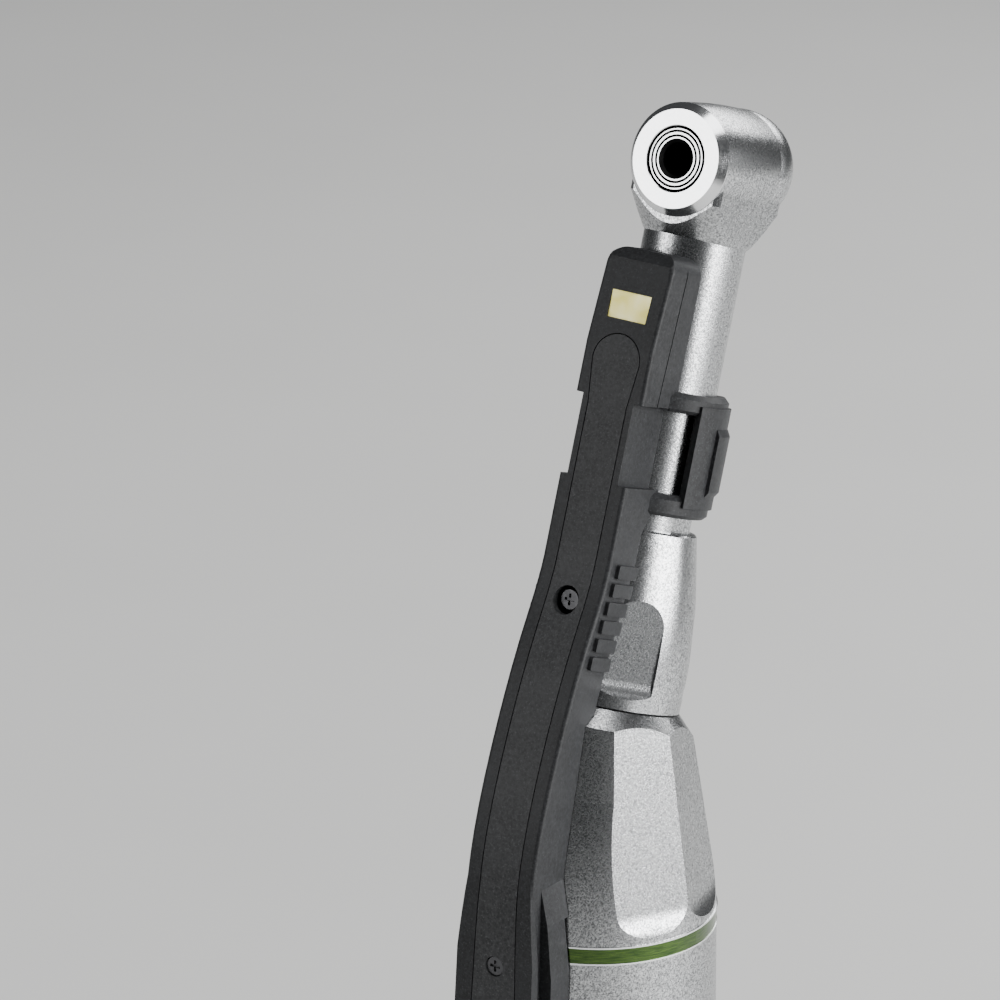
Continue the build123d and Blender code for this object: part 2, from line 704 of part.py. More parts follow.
def arm_shell():
    body = arm_blank().fuse(*arm_ribs())
    band = along_x(arm_band(-1.0, STRIP_DEPTH + 0.02), -ARM_HALF, ARM_HALF)
    channel = along_x(arm_band(STRIP_DEPTH - 0.1, 1.5), -1.0, 1.0)
    channel = channel & (NECK * block((-2, 2), (-30, 30), (-60, 28.0)))
    led_pocket = NECK * block((-1.62, 1.62), (-7.6, -5.1), (29.2, 31.16))
    board_pocket = NECK * block((-1.62, 1.62), (-6.1, -5.1), (27.6, 31.16))
    cuts = [
        NECK * rod(NECK_R + 0.04, 12, 36),
        NECK * sleeve_blank(0.12),
        BARREL * rod(BAND_R + 0.3, FOOT_END - 0.5, -10.5),
        BARREL * faceted_barrel(0.1),
        BARREL * rod(HANDLE_R + 0.02, -30, FOOT_END),
        arm_notch(0),
        arm_notch(1),
        band & strip_cutter(0.08),
        channel,
        led_pocket,
        board_pocket,
        *cap_grooves(),
    ]
    body = body.cut(*cuts)
    for spot in SCREW_SPOTS:
        place = screw_frame(spot)
        body = body.cut(place * rod(spot[2], -spot[3] - 0.4, 3), place * rod(0.36, -2.2, 1))
    return body


def cap_grooves():
    """Fine joint line along both sides of the cap."""
    line = [neck_point(CAP_TOP + 1, 4.4), neck_point(CAP_END - 1, 5.18),
            neck_point(CAP_END - 1, 5.28), neck_point(CAP_TOP + 1, 4.5)]
    face = make_face(Polyline(*line, close=True))
    depth = 0.1
    return [along_x(face, ARM_HALF - depth, 4), along_x(face, -4, depth - ARM_HALF)]


def arm_ribs():
    """Grip ribs on both sides of the arm, running past its back edge."""
    ribs = []
    for i in range(RIBS):
        share = i / (RIBS - 1)
        middle = (-1.22 - 3.1 * share, 12.95 - 5.85 * share)
        for low, high in ((-ARM_HALF - RIB_RISE, 0.5 - ARM_HALF), (ARM_HALF - 0.5, ARM_HALF + RIB_RISE)):
            rib = block((low, high), (-RIB_LENGTH / 2, RIB_LENGTH / 2), (-RIB_WIDTH / 2, RIB_WIDTH / 2))
            edges = rib.edges().filter_by(Axis.X)
            rib = fillet(edges, 0.12)
            ribs.append(Pos(0, middle[0], BEND_Z + middle[1]) * Rot(-20, 0, 0) * rib)
    return ribs


def arm_cover():
    band = along_x(arm_band(0.0, STRIP_DEPTH), -ARM_HALF, ARM_HALF)
    cover = band & strip_cutter(0.0)
    for spot in SCREW_SPOTS:
        place = screw_frame(spot)
        cover = cover.cut(place * rod(spot[2] + 0.02, -3, 3))
    return cover


def led_flex():
    """Flexible conductor strip from the LED board to the collar."""
    strip = along_x(arm_band(1.05, 1.25), 0.5, 0.95)
    return strip & (NECK * block((-2, 2), (-30, 30), (-60, 27.5)))


def arm_screws():
    made = []
    for place_data in SCREW_SPOTS:
        place = screw_frame(place_data)
        sink = -place_data[3]
        head = rod(place_data[2] - 0.3 if sink < -0.3 else place_data[2] - 0.05, sink - 0.4, sink)
        slot = block((-0.42, 0.42), (-0.1, 0.1), (sink - 0.15, sink + 1))
        cross = block((-0.1, 0.1), (-0.42, 0.42), (sink - 0.15, sink + 1))
        screw = (head + rod(0.35, sink - 1.4, sink - 0.3)).cut(slot, cross)
        made.append(place * screw)
    return grouped(*made)


def led_window():
    return NECK * block((-1.6, 1.6), (-6.78, -6.3), (29.22, 31.14))


def led_board():
    """Small board with the LED chip on its front."""
    chip = block((-1.1, 1.1), (-6.28, -5.9), (29.5, 30.86))
    return NECK * (block((-1.58, 1.58), (-5.98, -5.3), (27.65, 31.12)) + chip)


def neck_clip():
    """Clip that grips the neck from both sides and is open at the back."""
    inner, outer = NECK_R + 0.03, 4.62
    rings = []
    for low, high in ((23.5, 24.9), (16.2, 17.75)):
        rings.append(turned((inner, low), (outer - 0.25, low), (outer, low + 0.25), (outer, high - 0.35),
                            (outer - 0.35, high), (inner, high)))
    back = Rot(0, 0, 90) * sector(8, -41, 41, 10, 30)
    front = Rot(0, 0, -90) * sector(8, -33, 33, 10, 30)
    bands = fused(rings).cut(back, front)
    pad = ring(4.15, 4.85, 17.0, 24.2) & clip_wedges(100, 33)
    grip = turned((4.15, 17.9), (4.84, 17.9), (5.12, 18.3), (5.12, 22.3), (4.84, 22.8), (4.15, 22.8))
    clip = NECK * bands.fuse(pad, grip & clip_wedges(111.5, 21.5))
    return clip - arm_blank()


def clip_wedges(centre, half):
    """One wedge on each side, its angles counted from the front."""
    wedges = [Rot(0, 0, side * centre - 90) * sector(7, -half, half, 15, 26) for side in (-1, 1)]
    return fused(wedges)


def sector(radius, start, end, low, high):
    """A wedge of a disc, centred on +X, between two heights."""
    first = (radius * math.cos(math.radians(start)), radius * math.sin(math.radians(start)))
    last = (radius * math.cos(math.radians(end)), radius * math.sin(math.radians(end)))
    outline = Line((0, 0), first) + ThreePointArc(first, (radius, 0), last) + Line(last, (0, 0))
    return Pos(0, 0, low) * extrude(make_face(outline), high - low)


def collar_ring():
    """Collar around the contra-angle's rear end that carries the arm and its contacts."""
    body = turned(
        (REAR_R + 0.1, COLLAR_TOP), (10.4, COLLAR_TOP), (11.0, COLLAR_TOP - 0.6),
        (11.0, -27.5), (10.7, -27.8), (9.3, -27.8), (REAR_R + 0.1, -27.0),
    )
    pins = [Rot(0, 0, a) * Pos(10, 0, 0) * rod(0.52, -28, -25) for a in (-70, -110)]
    return BARREL * body.cut(*pins)


def collar_contacts():
    pins = [Rot(0, 0, a) * Pos(10, 0, 0) * rod(0.5, -27.95, -25) for a in (-70, -110)]
    return BARREL * grouped(*pins)


# ---- handle ---------------------------------------------------------------------------------
def handle_blank():
    top = (10.3, 0, HANDLE_TOP)
    shoulder = (HANDLE_R, 0, 97)
    low = (HANDLE_R, 0, 30)
    end = (10.5, 0, TAIL_HEIGHT)
    outline = (
        Line((0, 0, HANDLE_TOP), top)
        + ThreePointArc(top, (10.82, 0, 104), shoulder)
        + Line(shoulder, low)
        + ThreePointArc(low, (10.87, 0, 17), end)
        + Line(end, (0, 0, TAIL_HEIGHT))
        + Line((0, 0, TAIL_HEIGHT), (0, 0, HANDLE_TOP))
    )
    return turned_outline(outline)


BOSS_SPOTS = [(-4.6, 69.5), (4.6, 69.5)]
BUTTONS = {"power_button": (90.0, 2.9), "up_button": (77.5, 1.7), "down_button": (70.0, 1.7)}


def handle_shell(front):
    """One half of the handle's casing, split along Y = 0."""
    half = ((-0.02, -20), (0.02, 20))[0 if front else 1]
    body = handle_blank() & block((-20, 20), (min(half), max(half)), (0, 200))
    inner = rod(HANDLE_INNER_R, 0, HANDLE_TOP + 1)
    holders = [ring(7.62, HANDLE_INNER_R + 0.2, low, low + 2) for low in (83.0, 98.0)]
    body = body.cut(inner.cut(*holders), ring(9.0, 10.12, 109.48, HANDLE_TOP + 1))
    posts = []
    for x, z in BOSS_SPOTS:
        ends = (-8.6, -0.02) if front else (0.02, 8.6)
        posts.append(Pos(x, 0, z) * Rot(-90, 0, 0) * rod(1.9, *ends))
    body = body.fuse(*posts)
    if front:
        for x, z in BOSS_SPOTS:
            at = Pos(x, 0, z) * Rot(-90, 0, 0)
            body = body.cut(at * rod(1.45, -20, -6.0), at * rod(0.85, -7, 1))
        return body
    body = body - block((-20, 20), (FLAT_Y, 20), (34, 99))
    for x, z in BOSS_SPOTS:
        body = body.cut(Pos(x, 0, z) * Rot(-90, 0, 0) * rod(0.81, -1, 6.6))
    for height, radius in BUTTONS.values():
        body = body.cut(Pos(0, 0, height) * Rot(-90, 0, 0) * rod(radius + 0.06, 7, 12))
    body = body.cut(block((-3.3, 3.3), (8, 12), (39.5, 60.5)), block((-4.1, 4.1), (7.5, 8.9), (19, 95)))
    return body


def handle_screws():
    made = []
    for x, z in BOSS_SPOTS:
        screw = rod(1.35, -7.0, -6.0) + rod(0.8, -6.1, 6.4)
        screw = screw - block((-0.9, 0.9), (-0.2, 0.2), (-7.5, -6.6))
        made.append(Pos(x, 0, z) * Rot(-90, 0, 0) * screw)
    return grouped(*made)


def control_board():
    board = block((-3.9, 3.9), (7.85, 8.25), (20, 94))
    switches = [block((-1.4, 1.4), (8.2, 8.6), (z - 1.4, z + 1.4)) for z, _ in BUTTONS.values()]
    display = block((-3.0, 3.0), (8.2, 9.4), (41, 59))
    return board.fuse(display, *switches)


def push_button(name):
    height, radius = BUTTONS[name]
    cap = turned((0, 9.15), (radius + 0.0, 9.15), (radius, 10.7), (radius - 0.25, 10.95), (0, 10.95))
    return Pos(0, 0, height) * Rot(-90, 0, 0) * cap


def display_window():
    pane = block((-3.25, 3.25), (9.5, FLAT_Y - 0.05), (39.55, 60.45))
    return pane


def battery_cell():
    can = ((0, 12.5), (6.8, 12.5), (7.0, 12.7), (7.0, 61.3), (6.8, 61.5))
    return turned(*can, (2.6, 61.5), (2.6, 62.6), (0, 62.6))


def tail_cap():
    body = turned(
        (0, 0), (9.6, 0), (10.5, 0.9), (10.5, TAIL_HEIGHT - 0.05), (9.55, TAIL_HEIGHT - 0.05), (9.55, 11.5),
        (8.3, 11.5), (8.3, 3.0), (0, 3.0),
    )
    holes = [Pos(x, 0, 0) * rod(1.3, -1, 4) for x in (-4.2, 4.2)]
    return body.cut(*holes)


def charge_contacts():
    pins = [Pos(x, 0, 0) * (rod(1.28, 0.05, 3.4) + rod(0.7, 3.3, 6.0)) for x in (-4.2, 4.2)]
    return grouped(*pins)


def contact_ring():
    """Slip ring in the handle's front face that feeds the collar's contacts."""
    return ring(9.42, 10.1, 109.5, HANDLE_TOP)


# ---- all nodes ------------------------------------------------------------------------------
def all_nodes():
    nodes = {
        "head_housing": head_housing(),
        "head_face_ring": head_face_ring(),
        "head_back_ring": head_back_ring(),
        "push_cap": push_cap(),
        "push_cap_spring": push_cap_spring(),
        "chuck_spindle": chuck_spindle(),
        "chuck_latch": chuck_latch(),
        "chuck_gear": chuck_gear(),
        "neck_shaft": neck_shaft(),
        "neck_crown_gear": neck_crown_gear(),
        "mid_sleeve": mid_sleeve(),
        "grip_sleeve": grip_sleeve(),
        "ratio_band": ratio_band(),
        "band_trim_rings": band_trim_rings(),
        "rear_sleeve": rear_sleeve(),
        "ring_gear": ring_gear(),
        "planet_carrier": planet_carrier(),
        "carrier_crown_gear": carrier_crown_gear(),
        "sun_shaft": sun_shaft(),
        "motor_shaft": motor_shaft(),
        "drive_dog": drive_dog(),
        "motor_rotor": motor_rotor(),
        "motor_can": motor_can(),
        "motor_winding": motor_winding(),
        "motor_nose": motor_nose(),
        "nose_snap_ring": nose_snap_ring(),
        "nose_seal": nose_seal(),
        "arm_shell": arm_shell(),
        "arm_cover": arm_cover(),
        "arm_screws": arm_screws(),
        "led_flex": led_flex(),
        "led_window": led_window(),
        "led_board": led_board(),
        "neck_clip": neck_clip(),
        "collar_ring": collar_ring(),
        "collar_contacts": collar_contacts(),
        "handle_front_shell": handle_shell(front=True),
        "handle_back_shell": handle_shell(front=False),
        "handle_screws": handle_screws(),
        "control_board": control_board(),
        "display_window": display_window(),
        "battery_cell": battery_cell(),
        "tail_cap": tail_cap(),
        "charge_contacts": charge_contacts(),
        "contact_ring": contact_ring(),
    }
    for index in range(PLANETS):
        nodes[f"planet_gear_{index + 1}"] = planet_gear(index)
    for name in BUTTONS:
        nodes[name] = push_button(name)
    nodes["head_bearing_outer"] = HEAD * grouped(*[outer for outer, inner in HEAD_BEARINGS])
    nodes["head_bearing_inner"] = HEAD * grouped(*[inner for outer, inner in HEAD_BEARINGS])
    nodes["neck_bearing_outer"] = NECK * grouped(*[outer for outer, inner in NECK_BEARINGS])
    nodes["neck_bearing_inner"] = NECK * grouped(*[inner for outer, inner in NECK_BEARINGS])
    nodes["gear_bearing_outer"] = BARREL * grouped(CARRIER_BEARING[0], INPUT_BEARING[0])
    nodes["carrier_bearing_inner"] = BARREL * CARRIER_BEARING[1]
    nodes["input_bearing_inner"] = BARREL * INPUT_BEARING[1]
    nodes["motor_bearing_outer"] = grouped(*[outer for outer, inner in MOTOR_BEARINGS])
    nodes["motor_bearing_inner"] = grouped(*[inner for outer, inner in MOTOR_BEARINGS])
    return nodes


if __name__ == "__main__":
    os.makedirs("parts", exist_ok=True)
    for name, shape in all_nodes().items():
        export_step(shape, f"parts/{name}.step")
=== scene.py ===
import json
import math

import bmesh
import bpy
from mathutils import Matrix, Vector


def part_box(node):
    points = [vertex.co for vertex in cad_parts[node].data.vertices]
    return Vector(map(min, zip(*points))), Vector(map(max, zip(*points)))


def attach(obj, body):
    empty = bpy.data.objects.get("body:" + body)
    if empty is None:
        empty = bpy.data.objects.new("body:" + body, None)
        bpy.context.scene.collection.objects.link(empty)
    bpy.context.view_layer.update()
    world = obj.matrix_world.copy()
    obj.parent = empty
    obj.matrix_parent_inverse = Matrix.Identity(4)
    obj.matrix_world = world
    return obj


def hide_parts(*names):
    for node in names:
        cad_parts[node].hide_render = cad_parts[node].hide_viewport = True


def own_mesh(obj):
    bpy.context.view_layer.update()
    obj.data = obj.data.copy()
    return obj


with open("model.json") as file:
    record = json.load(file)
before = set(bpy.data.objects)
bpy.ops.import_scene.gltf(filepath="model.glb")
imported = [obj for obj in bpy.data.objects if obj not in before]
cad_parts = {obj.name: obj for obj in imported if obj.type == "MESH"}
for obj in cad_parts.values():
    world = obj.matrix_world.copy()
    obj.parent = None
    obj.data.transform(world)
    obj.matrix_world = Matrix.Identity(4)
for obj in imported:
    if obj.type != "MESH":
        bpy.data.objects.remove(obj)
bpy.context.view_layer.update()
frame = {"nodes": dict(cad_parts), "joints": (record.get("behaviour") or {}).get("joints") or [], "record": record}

# Dental handpiece with a bent contra-angle and an LED arm. Metres, in the CAD frame:
# +Z runs up the handle to the head, -Y is the side that the bur and the LED arm are on.

MM = 0.001
JOINTS = {joint["name"]: joint for joint in frame["joints"]}
BEND = Vector(JOINTS["neck_spin"]["pos_m"])
HEAD = Vector(JOINTS["chuck_spin"]["pos_m"])
OUT = Vector(JOINTS["chuck_spin"]["axis"])
UP = Vector((0, 0, 1))

# ---- camera -------------------------------------------------------------------------------
VIEW_AZIMUTH = math.radians(34.77)
VIEW_ELEVATION = math.radians(19.63)
VIEW_ROLL = math.radians(1.175)
VIEW_DISTANCE = 450 * MM
VIEW_LENS = 229.7
VIEW_NEAR = 0.01
VIEW_FAR = 50
AIM_RIGHT = -6.83 * MM
AIM_UP = 16.35 * MM


def make_camera():
    """Camera at the photograph's viewing angle, aimed above and beside the bend of the neck."""
    flat = Vector((math.sin(VIEW_AZIMUTH), -math.cos(VIEW_AZIMUTH), 0))
    back = flat * math.cos(VIEW_ELEVATION) + UP * math.sin(VIEW_ELEVATION)
    level = Vector((math.cos(VIEW_AZIMUTH), math.sin(VIEW_AZIMUTH), 0))
    above = back.cross(level)
    right = level * math.cos(VIEW_ROLL) + above * math.sin(VIEW_ROLL)
    top = above * math.cos(VIEW_ROLL) - level * math.sin(VIEW_ROLL)
    spot = BEND + right * AIM_RIGHT + top * AIM_UP + back * VIEW_DISTANCE
    data = bpy.data.cameras.new("camera")
    data.lens = VIEW_LENS
    data.clip_start = VIEW_NEAR
    data.clip_end = VIEW_FAR
    camera = bpy.data.objects.new("camera", data)
    turn = Matrix((right, top, back)).transposed().to_4x4()
    camera.matrix_world = Matrix.Translation(spot) @ turn
    bpy.context.collection.objects.link(camera)
    bpy.context.scene.camera = camera


# ---- node helpers -------------------------------------------------------------------------
class Graph:
    """A material's node tree, with short calls to add and join nodes."""

    def __init__(self, name):
        self.material = bpy.data.materials.new(name)
        self.material.use_nodes = True
        self.tree = self.material.node_tree
        self.shader = self.tree.nodes["Principled BSDF"]
        self.place = self.tree.nodes.new("ShaderNodeTexCoord").outputs["Object"]

    def put(self, socket, value):
        if isinstance(value, bpy.types.NodeSocket):
            self.tree.links.new(value, socket)
        else:
            socket.default_value = value

    def node(self, kind, values=(), **settings):
        made = self.tree.nodes.new("ShaderNode" + kind)
        for key, value in settings.items():
            setattr(made, key, value)
        for key, value in dict(values).items():
            self.put(made.inputs[key], value)
        return made

    def set(self, **values):
        for key, value in values.items():
            self.put(self.shader.inputs[key.replace("_", " ")], value)

    def math(self, operation, a, b=0.0, c=0.0):
        return self.node("Math", {0: a, 1: b, 2: c}, operation=operation).outputs[0]

    def vector(self, operation, a, b=(0, 0, 0)):
        made = self.node("VectorMath", {0: a, 1: b}, operation=operation)
        return made.outputs["Value"] if operation in ("LENGTH", "DOT_PRODUCT") else made.outputs[0]

    def noise(self, scale, detail=3.0, rough=0.55, place=None):
        """Noise with features about 1 / scale metres across."""
        made = self.node("TexNoise", {"Vector": place or self.place, "Scale": scale, "Detail": detail,
                                      "Roughness": rough})
        return made.outputs["Fac"]

    def span(self, value, low, high, start=0.0, end=1.0):
        made = self.node("MapRange", {"Value": value, "From Min": start, "From Max": end,
                                      "To Min": low, "To Max": high})
        return made.outputs["Result"]

    def blend(self, factor, first, second):
        made = self.node("Mix", data_type="RGBA")
        self.put(made.inputs["Factor"], factor)
        for socket in made.inputs:
            if socket.type == "RGBA":
                self.put(socket, first if socket.name == "A" else second)
        return [socket for socket in made.outputs if socket.type == "RGBA"][0]

    def bump(self, height, depth, strength=1.0, under=None):
        made = self.node("Bump", {"Height": height, "Distance": depth, "Strength": strength})
        if under is not None:
            self.put(made.inputs["Normal"], under)
        return made.outputs["Normal"]

    def axis_distance(self, centre, axis):
        """Distance of the surface point from an axis."""
        arm = self.vector("SUBTRACT", self.place, centre)
        return self.vector("LENGTH", self.vector("CROSS_PRODUCT", arm, axis))


def rgba(r, g, b):
    return (r, g, b, 1.0)


# ---- materials ----------------------------------------------------------------------------
def blasted_metal(name, light, dark, roughness, grain=8500, depth=0.014 * MM):
    """Bead-blasted steel: sparkling grain over slow changes of tone."""
    g = Graph(name)
    fine = g.noise(grain, 2.0, 0.6)
    pits = g.noise(grain * 0.55, 3.0, 0.6)
    slow = g.noise(160, 2.0, 0.5)
    mixed = g.math("MULTIPLY_ADD", fine, 0.6, g.math("MULTIPLY", pits, 0.4))
    tone = g.span(mixed, 0.0, 1.0, 0.38, 0.62)
    colour = g.blend(tone, rgba(*dark), rgba(*light))
    wear = g.span(slow, 0.0, 0.12, 0.35, 0.7)
    colour = g.blend(wear, colour, rgba(*[v * 0.9 for v in light]))
    g.set(Base_Color=colour, Metallic=1.0)
    g.set(Roughness=g.span(mixed, roughness + 0.08, roughness - 0.06, 0.3, 0.7))
    under = g.bump(g.noise(900, 2.0), 0.002 * MM, 0.25)
    g.set(Normal=g.bump(mixed, depth, 0.9, under))
    return g.material


def turned_metal(name, colour, roughness, centre, axis, pitch=0.09 * MM):
    """Lathe-turned steel with fine rings about an axis."""
    g = Graph(name)
    reach = g.axis_distance(centre, axis)
    wobble = g.math("MULTIPLY", g.noise(700, 2.0), pitch * 0.8)
    rings = g.math("SINE", g.math("MULTIPLY", g.math("ADD", reach, wobble), math.tau / pitch))
    scratch = g.noise(5200, 4.0, 0.7)
    tone = g.span(scratch, 0.86, 1.0, 0.3, 0.7)
    shade = g.blend(tone, rgba(*[v * 0.82 for v in colour]), rgba(*colour))
    g.set(Base_Color=shade, Metallic=1.0)
    g.set(Roughness=g.span(scratch, roughness - 0.04, roughness + 0.07, 0.3, 0.7))
    g.set(Normal=g.bump(rings, 0.0012 * MM, 0.35, g.bump(scratch, 0.0015 * MM, 0.4)))
    return g.material


def gear_metal(name, colour, roughness):
    """Ground and oiled steel of gears, screws and springs."""
    g = Graph(name)
    scratch = g.noise(2600, 5.0, 0.7)
    stain = g.noise(420, 3.0, 0.6)
    shade = g.blend(g.span(stain, 0.0, 0.6, 0.4, 0.75), rgba(*colour), rgba(*[v * 0.7 for v in colour]))
    g.set(Base_Color=shade, Metallic=1.0)
    g.set(Roughness=g.span(scratch, roughness - 0.06, roughness + 0.1, 0.3, 0.7))
    g.set(Normal=g.bump(scratch, 0.003 * MM, 0.5))
    return g.material


# Radii of the chuck's front in mm, and half the width of its grooves: they bound the painted shade, near black, in
# the shank hole, in the grooves and outside the rim.
CHUCK_MOUTH_R = 1.42
CHUCK_GROOVES = (1.62, 1.95)
CHUCK_GROOVE_HALF = 0.09
CHUCK_RIM_R = 2.13


def chuck_metal(name, colour, roughness):
    """Polished chuck front with painted shade, near black, in its grooves, in its shank hole and outside its rim.
    """
    g = Graph(name)
    reach = g.math("MULTIPLY", g.axis_distance(HEAD, OUT), 1 / MM)
    # dark is a painted shade mask: shank hole, grooves and everything outside the rim.
    dark = g.math("LESS_THAN", reach, CHUCK_MOUTH_R)
    for radius in CHUCK_GROOVES:
        dark = g.math("MAXIMUM", dark, g.math("COMPARE", reach, radius, CHUCK_GROOVE_HALF))
    dark = g.math("MAXIMUM", dark, g.math("GREATER_THAN", reach, CHUCK_RIM_R))
    scratch = g.noise(5200, 4.0, 0.7)
    bright = g.blend(g.span(scratch, 0.0, 1.0, 0.3, 0.7), rgba(*[v * 0.8 for v in colour]), rgba(*colour))
    # Painted shade: near black wherever the dark mask is set.
    g.set(Base_Color=g.blend(dark, bright, rgba(0.012, 0.012, 0.012)), Metallic=1.0)
    g.set(Roughness=g.math("MULTIPLY_ADD", dark, 0.35, g.span(scratch, roughness - 0.03, roughness + 0.06)))
    g.set(Normal=g.bump(scratch, 0.0015 * MM, 0.4))
    return g.material


def moulded_plastic(
    name, light, dark, speck, roughness, grain=5200, depth=0.012 * MM, cloud=0.3, gloss=0.25
):
    """Moulded plastic with a spark-eroded texture, cloudy tone and pale specks in the grain."""
    g = Graph(name)
    fine = g.noise(grain, 3.0, 0.65)
    pores = g.node("TexVoronoi", {"Vector": g.place, "Scale": grain * 0.5}).outputs["Distance"]
    slow = g.noise(210, 3.0, 0.55)
    grain_mix = g.math("MULTIPLY_ADD", fine, 0.7, g.math("MULTIPLY", pores, 0.3))
    colour = g.blend(g.span(grain_mix, 0.0, 1.0, 0.35, 0.65), rgba(*dark), rgba(*light))
    haze = g.span(slow, 0.0, cloud, 0.38, 0.68)
    colour = g.blend(haze, colour, rgba(*[v * 1.25 for v in light]))
    colour = g.blend(g.span(fine, 0.0, 0.8, 0.58, 0.72), colour, rgba(*speck))
    g.set(Base_Color=colour, Roughness=g.span(fine, roughness - 0.08, roughness + 0.1, 0.3, 0.7))
    g.set(Normal=g.bump(grain_mix, depth, 0.7))
    g.shader.inputs["Specular IOR Level"].default_value = gloss
    return g.material


BAND_LINE_PITCH = 0.07 * MM


def green_anodised(name):
    """Metallic green ring: bright turned metal under a green anodised skin."""
    g = Graph(name)
    reach = g.vector("DOT_PRODUCT", g.place, UP)
    lines = g.math("SINE", g.math("MULTIPLY", reach, math.tau / BAND_LINE_PITCH))
    streak = g.noise(900, 3.0, 0.6, g.vector("MULTIPLY", g.place, (1, 1, 14)))
    colour = g.blend(g.span(streak, 0.0, 1.0, 0.35, 0.7), rgba(0.018, 0.052, 0.005), rgba(0.075, 0.14, 0.022))
    g.set(Base_Color=colour, Metallic=1.0, Roughness=g.span(streak, 0.2, 0.3, 0.3, 0.7))
    g.set(Normal=g.bump(lines, 0.001 * MM, 0.3, g.bump(streak, 0.002 * MM, 0.3)))
    g.shader.inputs["Coat Weight"].default_value = 0.5
    g.shader.inputs["Coat Roughness"].default_value = 0.12
    return g.material


def led_lens(name):
    """Frosted warm window over a lit LED."""
    g = Graph(name)
    frost = g.noise(2400, 3.0, 0.6)
    glow = g.noise(650, 2.0, 0.5)
    colour = g.blend(g.span(glow, 0.0, 1.0, 0.35, 0.65), rgba(1.0, 0.92, 0.42), rgba(0.76, 0.68, 0.14))
    g.set(Base_Color=colour, Roughness=g.span(frost, 0.3, 0.5, 0.3, 0.7), Emission_Color=colour)
    g.shader.inputs["Emission Strength"].default_value = 0.5
    g.set(Normal=g.bump(frost, 0.006 * MM, 0.5))
    return g.material


def soft_rubber(name, colour, roughness=0.6):
    """Matt rubber or varnish with a fine grain and a slow change of tone."""
    g = Graph(name)
    fine = g.noise(4200, 3.0, 0.6)
    slow = g.noise(300, 2.0)
    shade = g.blend(g.span(slow, 0.0, 0.5, 0.35, 0.7), rgba(*colour), rgba(*[v * 1.5 + 0.01 for v in colour]))
    g.set(Base_Color=shade, Roughness=g.span(fine, roughness - 0.06, roughness + 0.1, 0.3, 0.7))
    g.set(Normal=g.bump(fine, 0.006 * MM, 0.5))
    g.shader.inputs["Sheen Weight"].default_value = 0.15
    return g.material


def display_glass(name):
    """Dark glass over the display."""
    g = Graph(name)
    dust = g.noise(3000, 3.0, 0.7)
    depth = g.noise(260, 2.0)
    shade = g.blend(g.span(depth, 0.0, 1.0, 0.3, 0.7), rgba(0.006, 0.007, 0.009), rgba(0.016, 0.018, 0.022))
    g.set(Base_Color=shade, Roughness=g.span(dust, 0.05, 0.13, 0.45, 0.8))
    g.set(Normal=g.bump(dust, 0.0006 * MM, 0.2))
    g.shader.inputs["Coat Weight"].default_value = 0.6
    return g.material


def lit_symbol(name, colour, strength):
    """Lit segment of the display, or a pale symbol on a key whose emission is a painted glow."""
    g = Graph(name)
    flicker = g.noise(2600, 2.0)
    shade = g.blend(g.span(flicker, 0.0, 1.0, 0.3, 0.7), rgba(*colour), rgba(*[v * 0.8 for v in colour]))
    g.set(Base_Color=shade, Emission_Color=shade, Roughness=g.span(flicker, 0.3, 0.4))
    # Emission is real light for the display's segments and a painted glow for the key symbols.
    g.shader.inputs["Emission Strength"].default_value = strength
    return g.material


def make_materials():
    """A material for each slot of the record, and the extra ones for screws, chuck and symbols."""
    return {
        "satin_steel": blasted_metal("satin_steel", (0.64, 0.65, 0.66), (0.13, 0.133, 0.137), 0.27),
        "polished_steel": turned_metal("polished_steel", (0.86, 0.87, 0.88), 0.17, HEAD, OUT),
        "chuck_front": chuck_metal("chuck_front", (0.84, 0.85, 0.86), 0.2),
        "gear_steel": gear_metal("gear_steel", (0.5, 0.5, 0.52), 0.3),
        "dark_screw": gear_metal("dark_screw", (0.1, 0.1, 0.105), 0.42),
        "bearing_steel": gear_metal("bearing_steel", (0.75, 0.75, 0.77), 0.16),
        "spring_steel": gear_metal("spring_steel", (0.55, 0.55, 0.56), 0.26),
        "motor_steel": gear_metal("motor_steel", (0.2, 0.2, 0.22), 0.42),
        "winding_copper": gear_metal("winding_copper", (0.6, 0.28, 0.1), 0.35),
        "contact_gold": gear_metal("contact_gold", (0.86, 0.6, 0.24), 0.22),
        "flex_copper": gear_metal("flex_copper", (0.7, 0.38, 0.16), 0.35),
        "green_band": green_anodised("green_band"),
        "arm_plastic": moulded_plastic(
            "arm_plastic", (0.026, 0.027, 0.029), (0.01, 0.0103, 0.011), (0.06, 0.062, 0.066), 0.48, 7000
        ),
        "arm_cover_plastic": moulded_plastic(
            "arm_cover_plastic", (0.046, 0.047, 0.049), (0.016, 0.0165, 0.017), (0.1, 0.102, 0.106), 0.5, 7000
        ),
        "led_lens": led_lens("led_lens"),
        "circuit_board": soft_rubber("circuit_board", (0.02, 0.16, 0.07), 0.35),
        "handle_shell": moulded_plastic(
            "handle_shell", (0.6, 0.61, 0.62), (0.45, 0.46, 0.47), (0.72, 0.73, 0.74), 0.4, 4200, 0.006 * MM,
            0.15, 0.4,
        ),
        "handle_trim": moulded_plastic(
            "handle_trim", (0.035, 0.035, 0.038), (0.013, 0.013, 0.014), (0.09, 0.09, 0.095), 0.45
        ),
        "button_rubber": soft_rubber("button_rubber", (0.06, 0.06, 0.065)),
        "display_glass": display_glass("display_glass"),
        "battery_wrap": soft_rubber("battery_wrap", (0.03, 0.1, 0.3), 0.3),
        "seal_rubber": soft_rubber("seal_rubber", (0.015, 0.015, 0.015)),
        # The key symbols' faint emission is a painted glow.
        "symbol_white_painted_glow": lit_symbol("symbol_white_painted_glow", (0.75, 0.78, 0.8), 0.15),
        "segment_light": lit_symbol("segment_light", (0.45, 0.8, 0.95), 1.1),
    }


